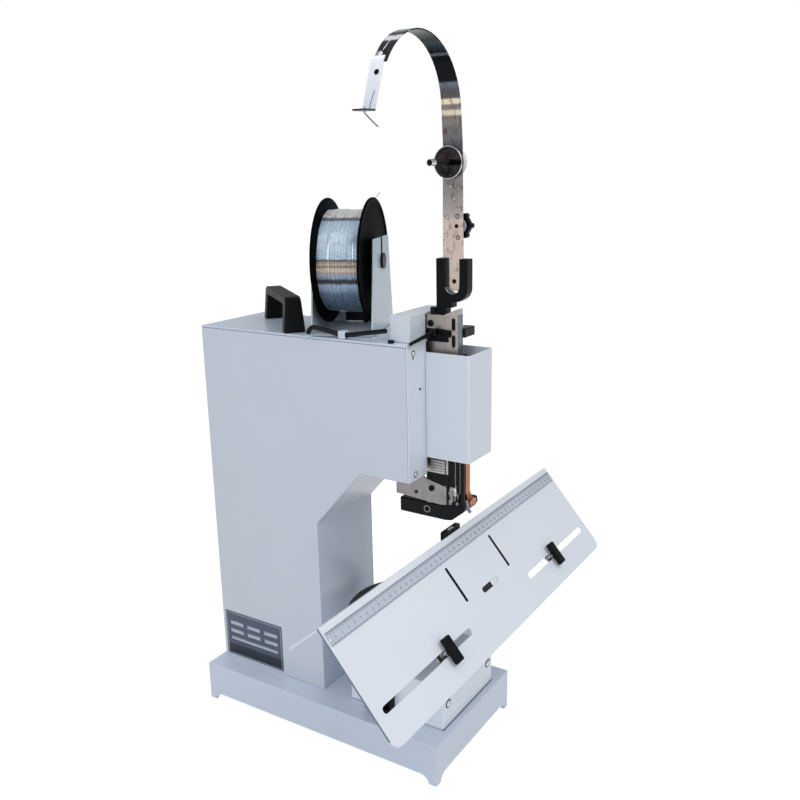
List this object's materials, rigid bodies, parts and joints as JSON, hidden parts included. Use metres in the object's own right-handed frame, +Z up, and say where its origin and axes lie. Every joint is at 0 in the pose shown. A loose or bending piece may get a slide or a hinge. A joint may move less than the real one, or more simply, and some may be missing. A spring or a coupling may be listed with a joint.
{
  "type": "booklet wire stitcher",
  "caption": "Free-standing electric wire stitcher for booklets: saddle table with sliding paper stops, stitching head with guard, wire spool and swan neck on a sheet steel column",
  "frame": {"origin": "middle of the outline at floor level, under the base", "axes": "X to the operator's right along the ruler, Y from the operator to the back, Z up"},
  "size_m": [0.505, 0.3954, 0.7836],
  "materials": {
    "casing_paint": "satin paint",
    "table_paint": "satin paint",
    "bright_steel": "machined",
    "chrome": "polished",
    "black_steel": "black oxide",
    "black_plastic": "satin",
    "copper": "rolled copper",
    "wire": "drawn and galvanised",
    "felt": "felt",
    "ruler_steel": "satin",
    "cast_iron": "as cast",
    "rubber": "matt"
  },
  "bodies": {
    "machine": {"base_skirt": "casing_paint", "left_side_panel": "casing_paint", "right_side_panel": "casing_paint", "arm_underside_and_column_sheet": "casing_paint", "back_panel": "casing_paint", "head_front_panel": "casing_paint", "head_front_panel_right": "casing_paint", "top_lid": "casing_paint", "crank_cover_box": "casing_paint", "head_guard": "casing_paint", "pedestal_cover": "casing_paint", "spool_stand": "casing_paint", "key_holder": "casing_paint", "head_side_frame": "bright_steel", "slide_guide_bar": "bright_steel", "wire_feed_block": "bright_steel", "head_bracket_plate": "bright_steel", "swan_neck_strip": "chrome", "wire_eyelet_bracket": "chrome", "tension_pressure_plate": "chrome", "head_clamp_bar": "black_steel", "stitch_shoe": "black_steel", "feed_adjuster_block": "black_steel", "neck_fork": "black_steel", "tension_bolt": "black_steel", "spool_axle": "black_steel", "mains_inlet": "black_plastic", "stand_cross_bar": "black_plastic", "carry_handle": "black_plastic", "copper_wire_guide": "copper", "wire_end_at_eyelet": "wire", "tension_felt": "felt", "lift_guide_bush": "cast_iron", "works_frame": "cast_iron", "motor_body": "cast_iron", "drive_belt": "rubber"},
    "wire_spool": {"spool_reel": "black_plastic", "winding_core": "wire", "wire_turns": "wire"},
    "lift_wheel": {"lift_handwheel": "black_plastic"},
    "table": {"lift_screw": "bright_steel", "table_bracket": "casing_paint", "table_front_plate": "table_paint", "table_rear_plate": "table_paint", "edge_ruler": "ruler_steel", "clincher_block": "black_steel"},
    "clincher_punch": {"clincher_plunger": "bright_steel"},
    "left_stop": {"left_paper_stop": "black_plastic"},
    "right_stop": {"right_paper_stop": "black_plastic"},
    "driver": {"driver_slide": "black_steel"},
    "crank": {"main_crankshaft": "bright_steel", "driven_pulley": "cast_iron"},
    "motor_rotor": {"motor_shaft": "bright_steel", "motor_pulley": "bright_steel"},
    "feed_lever": {"feed_release_lever": "black_steel"},
    "tension_knob": {"star_knob": "black_plastic"},
    "felt_nut": {"tension_nut": "bright_steel"},
    "rocker": {"power_rocker": "black_plastic"},
    "long_key": {"hex_key_long": "black_steel"},
    "short_key": {"hex_key_short": "black_steel"}
  },
  "joints": [
    {"name": "spool_turn", "type": "hinge", "parent": "machine", "child": "wire_spool", "pos_m": [-0.0035, 0.01166, 0.564], "axis": [0.342, -0.9397, 0], "continuous": true},
    {"name": "lift_wheel_turn", "type": "hinge", "parent": "machine", "child": "lift_wheel", "pos_m": [0.006, -0.05234, 0.147], "axis": [0, 0, 1], "range_deg": [-360, 720]},
    {"name": "table_lift", "type": "slide", "parent": "machine", "child": "table", "axis": [0, 0, 1], "range_m": [-0.004, 0.008]},
    {"name": "clincher_punch_rise", "type": "slide", "parent": "table", "child": "clincher_punch", "axis": [0, 0, 1], "range_m": [0, 0.0015]},
    {"name": "left_stop_slide", "type": "slide", "parent": "table", "child": "left_stop", "axis": [1, 0, 0], "range_m": [-0.1125, 0.0475]},
    {"name": "right_stop_slide", "type": "slide", "parent": "table", "child": "right_stop", "axis": [1, 0, 0], "range_m": [-0.0635, 0.0965]},
    {"name": "driver_stroke", "type": "slide", "parent": "machine", "child": "driver", "axis": [0, 0, 1], "range_m": [-0.009, 0]},
    {"name": "crankshaft_turn", "type": "hinge", "parent": "machine", "child": "crank", "pos_m": [0.004, -0.08234, 0.432], "axis": [0, 1, 0], "continuous": true},
    {"name": "motor_turn", "type": "hinge", "parent": "machine", "child": "motor_rotor", "pos_m": [0.004, 0.17366, 0.15], "axis": [0, 1, 0], "continuous": true},
    {"name": "feed_lever_swing", "type": "hinge", "parent": "machine", "child": "feed_lever", "pos_m": [-0.021, -0.10384, 0.4955], "axis": [0, 0, 1], "range_deg": [0, 12]},
    {"name": "star_knob_turn", "type": "hinge", "parent": "machine", "child": "tension_knob", "pos_m": [-0.0069, -0.12434, 0.6042], "axis": [1, 0, 0], "range_deg": [-180, 180]},
    {"name": "tension_nut_turn", "type": "hinge", "parent": "machine", "child": "felt_nut", "pos_m": [-0.041, -0.11764, 0.667], "axis": [1, 0, 0], "range_deg": [-360, 360]},
    {"name": "power_rocker_tilt", "type": "hinge", "parent": "machine", "child": "rocker", "pos_m": [-0.0698, -0.04334, 0.068], "axis": [0, 1, 0], "range_deg": [-8, 8]},
    {"name": "long_key_pull", "type": "slide", "parent": "machine", "child": "long_key", "axis": [-0.236, 0.9441, 0.2301], "range_m": [0, 0.006]},
    {"name": "short_key_pull", "type": "slide", "parent": "machine", "child": "short_key", "axis": [0.0098, -0.9864, 0.1641], "range_m": [0, 0.006]}
  ],
  "couplings": [
    {"joint": "lift_wheel_turn", "follows": "table_lift", "rad_per_m": 1570.8},
    {"joint": "motor_turn", "follows": "crankshaft_turn", "ratio": 2.5}
  ]
}
